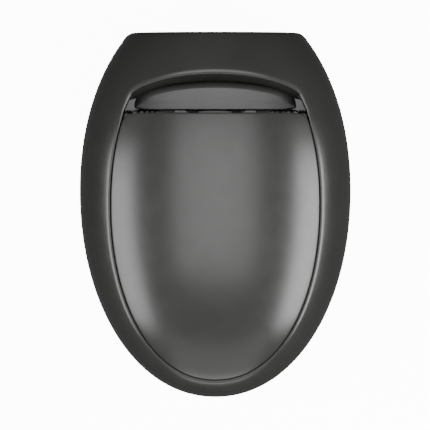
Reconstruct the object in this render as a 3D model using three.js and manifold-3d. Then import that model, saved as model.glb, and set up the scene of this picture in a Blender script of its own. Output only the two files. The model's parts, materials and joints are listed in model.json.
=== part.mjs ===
// A back-to-wall toilet pan with a flush crowned lid, in millimetres.
// Z is up from the floor, Y runs from the front tip to the wall, and X = 0 is the plane of symmetry.

import * as THREE from 'three';
import { mergeVertices } from 'three/addons/utils/BufferGeometryUtils.js';
import Module from 'manifold-3d';

const wasm = await Module();
wasm.setup();

// ---- driving dimensions ----

const GAP = 0.3; // left between pieces that touch
const SLIVER = 0.01; // detail smaller than this is merged after a cut
const OVERSHOOT = 5; // how far a cutting shape runs past the face that it cuts
const SIDES = 72; // directions in a large outline
const ROUND = 16; // sides of a small round piece
const PIPE = 24; // sides of a pipe

const WALL_Y = 262; // plane of the flat back
const EDGE = { halfWidth: 195, front: 298, rear: 287, centreY: 36, power: 2.07 }; // widest outline
const EDGE_Z = 345; // height of the widest outline
const CROWN = 98; // rise of the dome above it
const CROWN_POWER = 0.37; // how square the dome's shoulder is
const FOOT = { halfWidth: 120, front: 200, rear: 340, centreY: 36, power: 3.2 };
const WALL = 12; // thickness of the ceramic

const LID = { halfWidth: 149, front: 251.5, rear: 246, centreY: 15.5, power: 2.12 };
const LID_BACK_Y = 145.7;
const LID_SHELL = 5;
const LID_SKIRT = 8; // depth of the lid's rim
const SEAM = 3; // gap round the lid, which its back corners need as it opens

const LANDING_Z = 374; // ledge that the seat rests on
const WELL_BACK_Y = 150; // where the well round the lid ends at the back
const RECESS_Z = 380; // floor of the arched recess behind the lid
const ARCH = { halfWidth: 132, rise: 47, centreY: 154, frontY: 147 };
const ARCH_STEPS = 36;
const COVER = { halfWidth: 116, archWidth: 128, rise: 36.5, frontY: 152, centreY: 166, top: 394, crown: 8 };
const DECK_HOLLOW = { halfWidth: 88, frontY: 214, top: 396 }; // the space under the deck
const REAR_OPENING = { halfWidth: 78, top: 280 }; // the way in through the back, for the pipes

const SEAT_UNDER_Z = 378;
const SEAT_DROP = 9; // from the lid's outside to the seat's top
const SEAT_HOLE = { halfWidth: 107, front: 140, rear: 140, centreY: -45, power: 2.2 };
const SEAT_INNER_TOP_Z = 394;
const SEAT_NOTCH = { near: 20, far: 84, frontY: 122 };

const BOWL = { halfWidth: 118, front: 148, rear: 147, centreY: -52, power: 2.2 };
const SUMP = { halfWidth: 40, front: 40, rear: 40, centreY: 50, power: 2 };
const SUMP_Z = 112;
const BOWL_WALL = 10;
const TRAP_BORE = 28;
const TRAP_START = [[45, 138], [84, 146], [107, 170]]; // Y and Z of the trap's middle from the sump upwards
const WEIR = { y: 157, z: 191, radius: 49 }; // the arc that it then follows over the weir
const OUTLET = { z: 185, radius: 50, bore: 40, startY: 205, endY: 246 };
const INLET = { z: 330, radius: 35, socket: 27.5, bore: 20, startY: 75, socketY: 215, endY: 240 };

const HINGE = { y: 141.5, z: 411, x: 70 };
const POST_HALF = 10; // half the width of a hinge post
const KNUCKLE = 7.5; // radius of a hinge post, lug or damper
const PIN = 3.5;
const LID_LUG = { near: 42, far: 58, top: 431 };
const PIN_END = 98;
const DAMPER = { near: 22, far: 40 };
const STUD = { radius: 3, length: 50, hole: 5 };
const GASKET = { radius: 14, thickness: 3 };
const WASHER = { radius: 12, thickness: 1.5 };
const NUT = { radius: 10, thickness: 12 };

const FIXING = { y: 120, z: 35 }; // the side fixings through the skirt
const BRACKET = { inner: 70, outer: 106, depth: 40, height: 55, plate: 4, floorHoleX: 84 };
const SIDE_HOLE = { bore: 4.5, counterbore: 9.3, startX: 100, shoulderX: 116, endX: 135 };
const SIDE_SCREW = { radius: 3, head: 6, startX: 99, endX: 118 };
const SCREW_CAP = { radius: 9, face: 7.5, startX: 118.3, rimX: 121.6, endX: 122.4 };
const FLOOR_SCREW = { radius: 3, head: 7, top: 6, startZ: 0.5, endZ: 7.5 };

const OUTLET_SEAL = { outer: 55.7, startY: 233, endY: 244 };
const OUTLET_CONNECTOR = { inner: 56, outer: 60, startY: 231 };
const INLET_SEAL = { startY: 218, endY: 238 };
const INLET_CONNECTOR = { inner: 19, outer: 22 };

const BUFFERS = [['rear', 125.5, 40], ['front', 120.5, -110]]; // place, distance out, and Y
const LID_PAD = { radius: 5, half: 1.1 };
const SEAT_PAD = 8;

const RIGHT = 1;
const LEFT = -1;

// ---- materials ----

const finish = (color, roughness, metalness = 0) =>
  new THREE.MeshStandardMaterial({ color, roughness, metalness });
const ceramic = finish(0x4a4a48, 0.35);
const thermoset = finish(0x50504e, 0.35);
const plastic = finish(0x3a3a39, 0.5);
const rubber = finish(0x1c1c1c, 0.9);
const steel = finish(0xb4b6b8, 0.35, 1);
const pipePlastic = finish(0xe2e2de, 0.4);

// ---- outlines ----

/** Less than 1 inside an egg-shaped outline, 1 on it. */
function within(shape, x, y) {
  const along = y - shape.centreY;
  const reach = along < 0 ? shape.front : shape.rear;
  const sum = (Math.abs(x) / shape.halfWidth) ** shape.power + (Math.abs(along) / reach) ** shape.power;
  return sum ** (1 / shape.power);
}

/** The same outline cut straight across at backY. */
const withinCut = (shape, backY) => (x, y) =>
  Math.max(within(shape, x, y), (y - shape.centreY) / (backY - shape.centreY));

/** The points where rays from (0, centreY) leave the region that the measure calls less than 1. */
function outline(measure, centreY, sides = SIDES) {
  return Array.from({ length: sides }, (_, i) => {
    const angle = (2 * Math.PI * i) / sides;
    let near = 0;
    let far = 600;
    while (far - near > 1e-7) {
      const middle = (near + far) / 2;
      if (measure(middle * Math.cos(angle), centreY + middle * Math.sin(angle)) < 1) near = middle;
      else far = middle;
    }
    return [near * Math.cos(angle), centreY + near * Math.sin(angle)];
  });
}

const grown = (shape, amount) => ({
  ...shape,
  halfWidth: shape.halfWidth + amount,
  front: shape.front + amount,
  rear: shape.rear + amount,
});

const scaled = (shape, s) => ({
  ...shape,
  halfWidth: shape.halfWidth * s,
  front: shape.front * s,
  rear: shape.rear * s,
});

/** A shape part of the way from one to another. */
function between(a, b, t) {
  const mix = (key) => a[key] + (b[key] - a[key]) * t;
  const keys = ['halfWidth', 'front', 'rear', 'centreY', 'power'];
  return Object.fromEntries(keys.map((key) => [key, mix(key)]));
}

/** Height of the one smooth dome that the lid, the ring round it and the deck share. */
function domeZ(x, y) {
  const s = Math.min(within(EDGE, x, y), 1);
  return EDGE_Z + CROWN * (1 - s * s) ** CROWN_POWER;
}

const smooth = (t) => t * t * (3 - 2 * t);
const raise = (points, z) => points.map(([x, y]) => [x, y, z]);
const toward = (points, centreY, s) => points.map(([x, y]) => [x * s, centreY + (y - centreY) * s]);

// ---- solids ----

/** Skins rings of points. They run from the bottom up or from the underside round the edge to the top. */
function loft(rings, { start, end, loop = false } = {}) {
  const count = rings[0].length;
  const points = rings.flat();
  const faces = [];
  const pairs = loop ? rings.length : rings.length - 1;
  for (let k = 0; k < pairs; k += 1) {
    const low = k * count;
    const high = ((k + 1) % rings.length) * count;
    for (let i = 0; i < count; i += 1) {
      const next = (i + 1) % count;
      faces.push(low + i, low + next, high + next, low + i, high + next, high + i);
    }
  }
  if (!loop) {
    const last = (rings.length - 1) * count;
    const first = points.push(start ?? middleOf(rings[0])) - 1;
    const final = points.push(end ?? middleOf(rings.at(-1))) - 1;
    for (let i = 0; i < count; i += 1) {
      const next = (i + 1) % count;
      faces.push(first, next, i, final, last + i, last + next);
    }
  }
  const geometry = new THREE.BufferGeometry();
  geometry.setAttribute('position', new THREE.Float32BufferAttribute(points.flat(), 3));
  geometry.setIndex(faces);
  return geometry;
}

function middleOf(ring) {
  return [0, 1, 2].map((k) => ring.reduce((sum, point) => sum + point[k], 0) / ring.length);
}

/** A solid of revolution: [radius, distance] pairs along the axis from the origin. */
function turned(profile, axis, origin, { sides = ROUND, loop = false } = {}) {
  const along = 'xyz'.indexOf(axis);
  const rings = profile.map(([radius, distance]) =>
    Array.from({ length: sides }, (_, i) => {
      const angle = (2 * Math.PI * i) / sides;
      const point = [...origin];
      point[along] += distance;
      point[(along + 1) % 3] += radius * Math.cos(angle);
      point[(along + 2) % 3] += radius * Math.sin(angle);
      return point;
    }),
  );
  return loft(rings, { loop });
}

const rod = (radius, from, to, axis, origin, sides) =>
  turned([[radius, from], [radius, to]], axis, origin, { sides });

const tube = (inner, outer, from, to, axis, origin, sides) =>
  turned([[outer, from], [outer, to], [inner, to], [inner, from]], axis, origin, { sides, loop: true });

function block(x0, x1, y0, y1, z0, z1) {
  const geometry = new THREE.BoxGeometry(Math.abs(x1 - x0), y1 - y0, z1 - z0);
  return geometry.translate((x0 + x1) / 2, (y0 + y1) / 2, (z0 + z1) / 2);
}

/** A plate in the YZ plane with one end rounded about the hinge axis and the other at zEnd. */
function knuckle(x0, x1, zEnd) {
  const shape = new THREE.Shape();
  const down = zEnd < HINGE.z;
  shape.moveTo(HINGE.y - KNUCKLE, zEnd);
  if (down) {
    shape.lineTo(HINGE.y + KNUCKLE, zEnd);
    shape.absarc(HINGE.y, HINGE.z, KNUCKLE, 0, Math.PI, false);
  } else {
    shape.absarc(HINGE.y, HINGE.z, KNUCKLE, Math.PI, 2 * Math.PI, false);
    shape.lineTo(HINGE.y + KNUCKLE, zEnd);
  }
  const depth = Math.abs(x1 - x0);
  const geometry = new THREE.ExtrudeGeometry(shape, { depth, bevelEnabled: false, curveSegments: 10 });
  const axes = new THREE.Matrix4().makeBasis(
    new THREE.Vector3(0, 1, 0),
    new THREE.Vector3(0, 0, 1),
    new THREE.Vector3(1, 0, 0),
  );
  return geometry.applyMatrix4(axes).translate(Math.min(x0, x1), 0, 0);
}

/** A manifold solid from a closed geometry. */
function solid(geometry) {
  const bare = geometry.clone();
  bare.deleteAttribute('normal');
  bare.deleteAttribute('uv');
  const merged = mergeVertices(bare, 1e-4);
  const mesh = new wasm.Mesh({
    numProp: 3,
    vertProperties: new Float32Array(merged.attributes.position.array),
    triVerts: new Uint32Array(merged.index.array),
  });
  return new wasm.Manifold(mesh);
}

function geometryOf(manifold) {
  const mesh = manifold.asOriginal().simplify(SLIVER).getMesh();
  const geometry = new THREE.BufferGeometry();
  geometry.setAttribute('position', new THREE.Float32BufferAttribute(mesh.vertProperties, 3));
  geometry.setIndex(Array.from(mesh.triVerts));
  return geometry;
}

const joined = (first, ...others) => others.reduce((sum, geometry) => sum.add(solid(geometry)), first);
const cut = (first, ...others) => others.reduce((sum, geometry) => sum.subtract(solid(geometry)), first);

// ---- pan ----

/** The skirt's outline at a height, smaller by inset and not yet cut at the wall. */
function skirtAt(z, inset = 0) {
  const shape = between(FOOT, EDGE, smooth(THREE.MathUtils.clamp(z / EDGE_Z, 0, 1)));
  return raise(egg(grown(shape, -inset)), z);
}

const egg = (shape) => outline((x, y) => within(shape, x, y), EDGE.centreY);

/** Everything beyond a plane that faces the wall. */
const beyond = (y) => block(-2 * EDGE.halfWidth, 2 * EDGE.halfWidth, y, y + EDGE.rear, -WALL_Y, 2 * EDGE_Z);

function panOutside() {
  const skirt = [0, 40, 90, 145, 200, 255, 305, EDGE_Z].map((z) => skirtAt(z));
  const dome = [0.992, 0.97, 0.93, 0.88, 0.82, 0.75, 0.6].map((s) =>
    raise(egg(scaled(EDGE, s)), EDGE_Z + CROWN * (1 - s * s) ** CROWN_POWER),
  );
  return cut(solid(loft([...skirt, ...dome])), beyond(WALL_Y));
}

function panHollow() {
  const levels = [-OVERSHOOT, 60, 145, 230, 300, EDGE_Z];
  const rings = levels.map((z) => skirtAt(z, WALL));
  const top = raise(egg(grown(EDGE, -2.5 * WALL)), LANDING_Z - WALL);
  return cut(solid(loft([...rings, top])), beyond(WALL_Y - WALL));
}

/** The space inside the bowl, or with a margin the outside of its wall. */
function bowl(margin, topZ) {
  const levels = [0, 0.12, 0.28, 0.46, 0.64, 0.82, 0.94, 1];
  const rings = levels.map((t) => {
    const shape = grown(between(SUMP, BOWL, smooth(t) * 0.45 + t * 0.55), margin);
    const z = t === 1 ? topZ : SUMP_Z - margin + (LANDING_Z - SUMP_Z) * t ** 1.15;
    return raise(outline((x, y) => within(shape, x, y), shape.centreY, SIDES / 2), z);
  });
  return loft(rings);
}

/** A round pipe from the sump, over the weir's arc and down to the outlet. */
function trap(radius) {
  const arc = [160, 130, 100, 70, 40].map((degrees) => {
    const angle = THREE.MathUtils.degToRad(degrees);
    return [WEIR.y + WEIR.radius * Math.cos(angle), WEIR.z + WEIR.radius * Math.sin(angle)];
  });
  const route = [...TRAP_START, ...arc, [OUTLET.startY - 5, WEIR.z + 5]];
  const circle = new THREE.Shape().absarc(0, 0, radius, 0, 2 * Math.PI, false);
  const path = new THREE.CatmullRomCurve3(route.map(([y, z]) => new THREE.Vector3(0, y, z)));
  return new THREE.ExtrudeGeometry(circle, { extrudePath: path, steps: 16, curveSegments: 8 });
}

/** An outline with a straight front, straight ends and an elliptical arch behind. */
function archOutline(halfWidth, archWidth, rise, frontY) {
  const front = [[-halfWidth, frontY], [halfWidth, frontY]];
  const behind = Array.from({ length: ARCH_STEPS + 1 }, (_, i) => {
    const angle = (Math.PI * i) / ARCH_STEPS;
    const x = THREE.MathUtils.clamp(archWidth * Math.cos(angle), -halfWidth, halfWidth);
    return [x, ARCH.centreY + rise * Math.sqrt(1 - (x / archWidth) ** 2)];
  });
  const distinct = (point, i) => i === 0 || Math.abs(point[0] - behind[i - 1][0]) > GAP;
  return [...front, ...behind.filter(distinct)];
}

/** What is cut above the landing: the well round the lid, and the arched recess behind it. */
function topOpenings() {
  const top = EDGE_Z + CROWN + OVERSHOOT;
  const seam = outline(withinCut(grown(LID, SEAM), WELL_BACK_Y), LID.centreY);
  const arch = archOutline(ARCH.halfWidth, ARCH.halfWidth, ARCH.rise, ARCH.frontY);
  return [
    loft([raise(seam, LANDING_Z), raise(seam, top)]),
    loft([raise(arch, RECESS_Z), raise(arch, top)]),
  ];
}

/** A turned profile laid along X from the middle out to the right, or its mirror image. */
const sideways = (profile, side, options) =>
  turned(
    side === RIGHT ? profile : profile.map(([radius, x]) => [radius, -x]).reverse(),
    'x',
    [0, FIXING.y, FIXING.z],
    options,
  );

/** The side fixing's counterbored hole through the skirt. */
function sideHole(side) {
  const { bore, counterbore, startX, shoulderX, endX } = SIDE_HOLE;
  return sideways([[bore, startX], [bore, shoulderX], [counterbore, shoulderX], [counterbore, endX]], side);
}

function makePan() {
  const inletAxis = [0, 0, INLET.z];
  const outletAxis = [0, 0, OUTLET.z];
  const upright = ({ halfWidth }, y0, y1, z0, z1) => block(-halfWidth, halfWidth, y0, y1, z0, z1);
  const back = WALL_Y - WALL;
  const deckHollow = upright(DECK_HOLLOW, DECK_HOLLOW.frontY, back, EDGE_Z - WALL, DECK_HOLLOW.top);
  const rearOpening = upright(REAR_OPENING, back - WALL, WALL_Y + OVERSHOOT, -OVERSHOOT, REAR_OPENING.top);
  const shell = cut(panOutside().subtract(panHollow()), deckHollow, rearOpening);
  const plumbed = joined(
    shell,
    bowl(BOWL_WALL, LANDING_Z - 1),
    trap(TRAP_BORE + BOWL_WALL),
    rod(OUTLET.radius, OUTLET.startY, OUTLET.endY, 'y', outletAxis, PIPE),
    rod(INLET.radius, INLET.startY, INLET.endY, 'y', inletAxis, PIPE),
  );
  const studHoles = [RIGHT, LEFT].map((side) =>
    rod(STUD.hole, LANDING_Z - 2 * WALL, LANDING_Z + OVERSHOOT, 'z', [side * HINGE.x, HINGE.y, 0]),
  );
  return cut(
    plumbed,
    ...topOpenings(),
    bowl(0, LANDING_Z + OVERSHOOT),
    trap(TRAP_BORE),
    rod(OUTLET.bore, OUTLET.startY + 8, OUTLET.endY + OVERSHOOT, 'y', outletAxis, PIPE),
    rod(INLET.bore, INLET.startY - OVERSHOOT, INLET.endY, 'y', inletAxis, PIPE),
    rod(INLET.socket, INLET.socketY, WALL_Y + OVERSHOOT, 'y', inletAxis, PIPE),
    ...studHoles,
    sideHole(RIGHT),
    sideHole(LEFT),
  );
}

// ---- lid, seat and hinge cover ----

const lidOutline = outline(withinCut(LID, LID_BACK_Y), LID.centreY);
const underDome = (points, drop) => points.map(([x, y]) => [x, y, domeZ(x, y) - drop]);
const lidRing = (s, drop) => underDome(toward(lidOutline, LID.centreY, s), drop);

function makeLid() {
  const inner = 1 - LID_SHELL / LID.halfWidth;
  const under = [0.25, 0.5, 0.75, 0.9, inner].map((s) => lidRing(s, LID_SHELL));
  const rim = [lidRing(inner, LID_SKIRT), lidRing(1, LID_SKIRT), lidRing(1, 0)];
  const top = [0.95, 0.85, 0.7, 0.5, 0.25].map((s) => lidRing(s, 0));
  const crownZ = domeZ(0, LID.centreY);
  const shell = loft([...under, ...rim, ...top], {
    start: [0, LID.centreY, crownZ - LID_SHELL],
    end: [0, LID.centreY, crownZ],
  });
  const lugs = [RIGHT, LEFT].map((side) => knuckle(side * LID_LUG.near, side * LID_LUG.far, LID_LUG.top));
  const bores = [RIGHT, LEFT].map((side) => pinRod(side, PIN + GAP, LID_LUG.near - 1));
  return cut(joined(solid(shell), ...lugs), ...bores);
}

/** A rod along the hinge axis from a distance out to the pin's end. */
function pinRod(side, radius, start, end = PIN_END) {
  const [from, to] = [side * start, side * end].sort((a, b) => a - b);
  return rod(radius, from, to, 'x', [0, HINGE.y, HINGE.z]);
}

function makeSeat() {
  const outer = toward(lidOutline, LID.centreY, 0.997);
  const inner = outline((x, y) => within(SEAT_HOLE, x, y), LID.centreY);
  const across = (t) => outer.map(([x, y], i) => [x + (inner[i][0] - x) * t, y + (inner[i][1] - y) * t]);
  const seat = loft(
    [
      raise(across(1), SEAT_UNDER_Z + 3),
      raise(across(0.92), SEAT_UNDER_Z),
      raise(across(0), SEAT_UNDER_Z),
      underDome(across(0), SEAT_DROP),
      underDome(across(0.3), SEAT_DROP),
      underDome(across(0.6), SEAT_DROP + 3),
      raise(across(0.85), SEAT_INNER_TOP_Z + 3),
      raise(across(1), SEAT_INNER_TOP_Z - 4),
    ],
    { loop: true },
  );
  const notches = [RIGHT, LEFT].map((side) =>
    block(side * SEAT_NOTCH.near, side * SEAT_NOTCH.far, SEAT_NOTCH.frontY, WELL_BACK_Y, 370, 450),
  );
  const bores = [RIGHT, LEFT].map((side) => pinRod(side, PIN + GAP, SEAT_NOTCH.far - 1, PIN_END + 1));
  return cut(solid(seat), ...notches, ...bores);
}

/** The lens-shaped cover behind the lid, crowned across its width. */
function makeHingeCover() {
  const ring = (inset) =>
    archOutline(COVER.halfWidth - inset, COVER.archWidth - inset, COVER.rise - inset, COVER.frontY + inset);
  const crown = (points, drop) =>
    points.map(([x, y]) => [x, y, COVER.top - drop - COVER.crown * (x / COVER.halfWidth) ** 2]);
  const inner = toward(ring(0), COVER.centreY, 0.5);
  return loft([
    raise(ring(0), RECESS_Z + GAP),
    crown(ring(0), 4),
    crown(ring(1.5), 1.2),
    crown(ring(5), 0),
    crown(inner, 0),
  ], { end: [0, COVER.centreY, COVER.top] });
}

// ---- hinge hardware ----

function makePost(side) {
  const x = side * HINGE.x;
  const post = solid(knuckle(x - POST_HALF, x + POST_HALF, LANDING_Z + GAP));
  return cut(post, rod(PIN + GAP, x - 2 * POST_HALF, x + 2 * POST_HALF, 'x', [0, HINGE.y, HINGE.z]));
}

/** A stack below the landing: rubber gasket, steel washer and nut round the stud. */
function fixingStack(side) {
  const origin = [side * HINGE.x, HINGE.y, LANDING_Z - WALL - GAP];
  const bore = STUD.radius + GAP;
  const washerTop = -GASKET.thickness - GAP;
  const nutTop = washerTop - WASHER.thickness - GAP;
  const under = (inner, { radius, thickness }, top, sides) =>
    tube(inner, radius, top - thickness, top, 'z', origin, sides);
  return {
    gasket: under(bore, GASKET, 0),
    washer: under(bore, WASHER, washerTop),
    nut: under(bore / Math.cos(Math.PI / 6), NUT, nutTop, 6),
    stud: rod(STUD.radius, WALL - STUD.length, WALL, 'z', origin),
  };
}

// ---- buffers ----

/** A rubber pad in the space between the seat's top and the lid's underside. */
function lidBuffer(x, y) {
  const step = 1;
  const slopeX = (domeZ(x + step, y) - domeZ(x - step, y)) / (2 * step);
  const slopeY = (domeZ(x, y + step) - domeZ(x, y - step)) / (2 * step);
  const normal = new THREE.Vector3(-slopeX, -slopeY, 1).normalize();
  const pad = rod(LID_PAD.radius, -LID_PAD.half, LID_PAD.half, 'z', [0, 0, 0]);
  pad.applyQuaternion(new THREE.Quaternion().setFromUnitVectors(new THREE.Vector3(0, 0, 1), normal));
  return pad.translate(x, y, domeZ(x, y) - (LID_SHELL + SEAT_DROP) / 2);
}

const seatBuffer = (x, y) => rod(SEAT_PAD, LANDING_Z + GAP, SEAT_UNDER_Z - GAP, 'z', [x, y, 0]);

// ---- fixings to floor, drain and flush pipe ----

function makeBracket(side) {
  const y0 = FIXING.y - BRACKET.depth / 2;
  const y1 = FIXING.y + BRACKET.depth / 2;
  const inner = side * BRACKET.inner;
  const outer = side * BRACKET.outer;
  const base = block(inner, outer, y0, y1, 0, BRACKET.plate);
  const upright = block(outer - side * BRACKET.plate, outer, y0, y1, 0, BRACKET.height);
  const reach = [BRACKET.outer - 2 * BRACKET.plate, BRACKET.outer + BRACKET.plate];
  const hole = STUD.radius + GAP;
  return cut(
    joined(solid(base), upright),
    sideways(reach.map((x) => [hole, x]), side),
    rod(hole, -1, BRACKET.plate + 1, 'z', [side * BRACKET.floorHoleX, FIXING.y, 0]),
  );
}

function floorScrew(side) {
  const { radius, head, top, startZ, endZ } = FLOOR_SCREW;
  const under = BRACKET.plate + GAP;
  const profile = [[radius, startZ], [radius, under], [head, under], [top, endZ]];
  return turned(profile, 'z', [side * BRACKET.floorHoleX, FIXING.y, 0]);
}

function sideScrew(side) {
  const { radius, head, startX, endX } = SIDE_SCREW;
  const under = SIDE_HOLE.shoulderX + GAP;
  return sideways([[radius, startX], [radius, under], [head, under], [head, endX]], side);
}

function screwCap(side) {
  const { radius, face, startX, rimX, endX } = SCREW_CAP;
  return sideways([[radius, startX], [radius, rimX], [face, endX]], side, { sides: PIPE });
}

const outletTube = (inner, outer, from, to) => tube(inner, outer, from, to, 'y', [0, 0, OUTLET.z], PIPE);
const inletTube = (inner, outer, from, to) => tube(inner, outer, from, to, 'y', [0, 0, INLET.z], PIPE);

// ---- assembly ----

const toilet = new THREE.Group();

function add(name, geometry, material) {
  const mesh = new THREE.Mesh(geometry, material);
  mesh.name = name;
  toilet.add(mesh);
}

add('pan', geometryOf(makePan()), ceramic);
add('lid', geometryOf(makeLid()), thermoset);
add('seat', geometryOf(makeSeat()), thermoset);
add('hinge_cover', makeHingeCover(), thermoset);

for (const [side, name] of [[LEFT, 'left'], [RIGHT, 'right']]) {
  const stack = fixingStack(side);
  add(`hinge_post_${name}`, geometryOf(makePost(side)), steel);
  add(`hinge_pin_${name}`, pinRod(side, PIN, LID_LUG.near + 0.5), steel);
  add(`hinge_stud_${name}`, stack.stud, steel);
  add(`hinge_gasket_${name}`, stack.gasket, rubber);
  add(`hinge_washer_${name}`, stack.washer, steel);
  add(`hinge_nut_${name}`, stack.nut, plastic);
  add(`floor_bracket_${name}`, geometryOf(makeBracket(side)), steel);
  add(`floor_screw_${name}`, floorScrew(side), steel);
  add(`side_screw_${name}`, sideScrew(side), steel);
  add(`screw_cap_${name}`, screwCap(side), plastic);
  for (const [where, x, y] of BUFFERS) {
    add(`lid_buffer_${where}_${name}`, lidBuffer(side * x, y), rubber);
    add(`seat_buffer_${where}_${name}`, seatBuffer(side * x, y), rubber);
  }
}
add('lid_damper', pinRod(LEFT, KNUCKLE, DAMPER.near, DAMPER.far), plastic);
add('seat_damper', pinRod(RIGHT, KNUCKLE, DAMPER.near, DAMPER.far), plastic);

const waste = OUTLET_CONNECTOR;
const flush = INLET_CONNECTOR;
const wall = WALL_Y - GAP;
const seal = OUTLET_SEAL;
add('outlet_seal', outletTube(OUTLET.radius + GAP, seal.outer, seal.startY, seal.endY), rubber);
add('outlet_connector', outletTube(waste.inner, waste.outer, waste.startY, wall), pipePlastic);
const ring = inletTube(flush.outer + GAP, INLET.socket - GAP, INLET_SEAL.startY, INLET_SEAL.endY);
add('inlet_seal', ring, rubber);
add('inlet_connector', inletTube(flush.inner, flush.outer, INLET.socketY + 1, wall), pipePlastic);

export default toilet;
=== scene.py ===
"""A back-to-wall toilet pan with a flush crowned lid, seen from straight above. Lengths are in metres."""

import json
import math

import bpy
import numpy as np
from mathutils import Matrix, Vector


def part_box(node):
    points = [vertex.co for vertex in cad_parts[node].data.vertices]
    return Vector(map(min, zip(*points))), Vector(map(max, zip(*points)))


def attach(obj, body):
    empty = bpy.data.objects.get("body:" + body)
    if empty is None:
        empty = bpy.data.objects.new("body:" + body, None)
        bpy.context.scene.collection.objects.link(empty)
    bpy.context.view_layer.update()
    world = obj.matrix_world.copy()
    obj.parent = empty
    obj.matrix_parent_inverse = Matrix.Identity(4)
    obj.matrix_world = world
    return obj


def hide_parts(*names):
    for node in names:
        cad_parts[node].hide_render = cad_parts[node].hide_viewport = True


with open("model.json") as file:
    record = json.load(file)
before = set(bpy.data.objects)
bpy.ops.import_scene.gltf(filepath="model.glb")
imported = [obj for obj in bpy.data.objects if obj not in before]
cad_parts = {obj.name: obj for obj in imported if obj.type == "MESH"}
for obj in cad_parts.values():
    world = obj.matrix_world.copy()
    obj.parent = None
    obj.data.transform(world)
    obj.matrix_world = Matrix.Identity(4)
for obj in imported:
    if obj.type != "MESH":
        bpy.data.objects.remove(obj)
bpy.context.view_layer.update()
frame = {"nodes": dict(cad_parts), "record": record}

MM = 0.001
GAP = 0.3 * MM  # left between pieces that touch
RAYS = 384  # directions in a large outline
ROUND = 48  # sides of a small round piece
PIPE_ROUND = 96  # sides of a bore that a pipe goes in
TIP = 0.02 * MM  # radius where a profile starts or ends on its axis
TINY = 1e-3  # the least a measure may be, so that powers of it stay finite
SIDES = (("left", -1), ("right", 1))
QUARTER = np.linspace(0, math.pi / 2, 7)

# ---- places from the frame ----

PAN_LOW, PAN_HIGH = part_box("pan")
LID_LOW, LID_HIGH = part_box("lid")
COVER_LOW, COVER_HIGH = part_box("hinge_cover")
PIN_LOW, PIN_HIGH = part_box("hinge_pin_right")
POST_LOW, POST_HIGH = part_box("hinge_post_right")
SPIGOT_LOW, SPIGOT_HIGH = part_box("outlet_seal")
INLET_LOW, INLET_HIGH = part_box("inlet_connector")

WALL_Y = PAN_HIGH.y
CENTRE_Y = 36 * MM
EDGE_Z = 345 * MM
DOME_RISE = 98 * MM
DOME_POWER = 0.37
LANDING_Z = POST_LOW.z - GAP
RECESS_Z = COVER_LOW.z - GAP
WALL = 12 * MM
HINGE = (PIN_LOW + PIN_HIGH) / 2
HINGE_X = (POST_LOW.x + POST_HIGH.x) / 2
HINGE_LINE = (0, HINGE.y, HINGE.z)
KNUCKLE = (POST_HIGH.y - POST_LOW.y) / 2
PIN = (PIN_HIGH.z - PIN_LOW.z) / 2
PIN_HOLE = PIN + GAP


def egg(half_width, front, rear, centre_y, power):
    """An outline with round ends: its half width, its reach each way from centre_y, and how square it is."""
    return {"half": half_width, "front": front, "rear": rear, "centre": centre_y, "power": power}


EDGE = egg(PAN_HIGH.x, CENTRE_Y - PAN_LOW.y, 287 * MM, CENTRE_Y, 2.07)
FOOT = egg(120 * MM, 200 * MM, 340 * MM, CENTRE_Y, 3.2)
LID_CENTRE, LID_BACK_Y = 15.5 * MM, 145.7 * MM
LID = egg(LID_HIGH.x, LID_CENTRE - LID_LOW.y, 246 * MM, LID_CENTRE, 2.12)
BOWL = egg(118 * MM, 148 * MM, 147 * MM, -52 * MM, 2.2)
SUMP = egg(40 * MM, 40 * MM, 40 * MM, 50 * MM, 2.0)
SEAT_HOLE = egg(107 * MM, 140 * MM, 140 * MM, -45 * MM, 2.2)
SUMP_Z = 112 * MM
ARCH_HALF, ARCH_RISE, ARCH_Y = 132 * MM, 47 * MM, 154 * MM
ARCH_TAPER = 0.36  # how fast the arch narrows behind the lid's corners
WELL_BACK_Y = 150 * MM
SEAM, CORNER_SEAM = 0.8 * MM, 1.6 * MM  # gap round the lid, and at its back corners, which swing
WALL_LEAN = 9 * MM  # how far the arch's wall comes in from its edge to the recess floor


# ---- outlines ----

def grown(shape, amount):
    return {**shape, **{key: shape[key] + amount for key in ("half", "front", "rear")}}


def between(a, b, t):
    return {key: a[key] + (b[key] - a[key]) * t for key in a}


def within(shape, x, y):
    """Less than 1 inside the outline, 1 on it."""
    along = y - shape["centre"]
    reach = np.where(along < 0, shape["front"], shape["rear"])
    power = shape["power"]
    return ((np.abs(x) / shape["half"]) ** power + (np.abs(along) / reach) ** power) ** (1 / power)


def both(a, b, sharpness):
    """The overlap of two measures, with its corners rounded."""
    return (a**sharpness + b**sharpness) ** (1 / sharpness)


def either(a, b, sharpness):
    """Two measures joined, with the notches between them filled."""
    return (a**-sharpness + b**-sharpness) ** (-1 / sharpness)


def outline(measure, centre_y):
    """The points where rays from (0, centre_y) leave the region that the measure calls less than 1."""
    angle = np.arange(RAYS) * 2 * math.pi / RAYS
    across, along = np.cos(angle), np.sin(angle)
    near, far = np.full(RAYS, 1e-6), np.full(RAYS, 0.6)
    for _ in range(40):
        middle = (near + far) / 2
        inside = measure(middle * across, centre_y + middle * along) < 1
        near, far = np.where(inside, middle, near), np.where(inside, far, middle)
    return np.column_stack([near * across, centre_y + near * along])


def shape_outline(shape):
    return outline(lambda x, y: within(shape, x, y), shape["centre"])


def offset(points, amount):
    """The outline moved outwards, or inwards if the amount is negative."""
    tangent = np.roll(points, -1, 0) - np.roll(points, 1, 0)
    tangent /= np.linalg.norm(tangent, axis=1)[:, None]
    normal = np.column_stack([tangent[:, 1], -tangent[:, 0]])
    return points + np.broadcast_to(amount, len(points))[:, None] * normal


def dome_z(points):
    """Height of the one smooth dome that the lid, the ring round it and the deck share."""
    s = np.minimum(within(EDGE, points[:, 0], points[:, 1]), 1)
    return EDGE_Z + DOME_RISE * (1 - s * s) ** DOME_POWER


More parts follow.
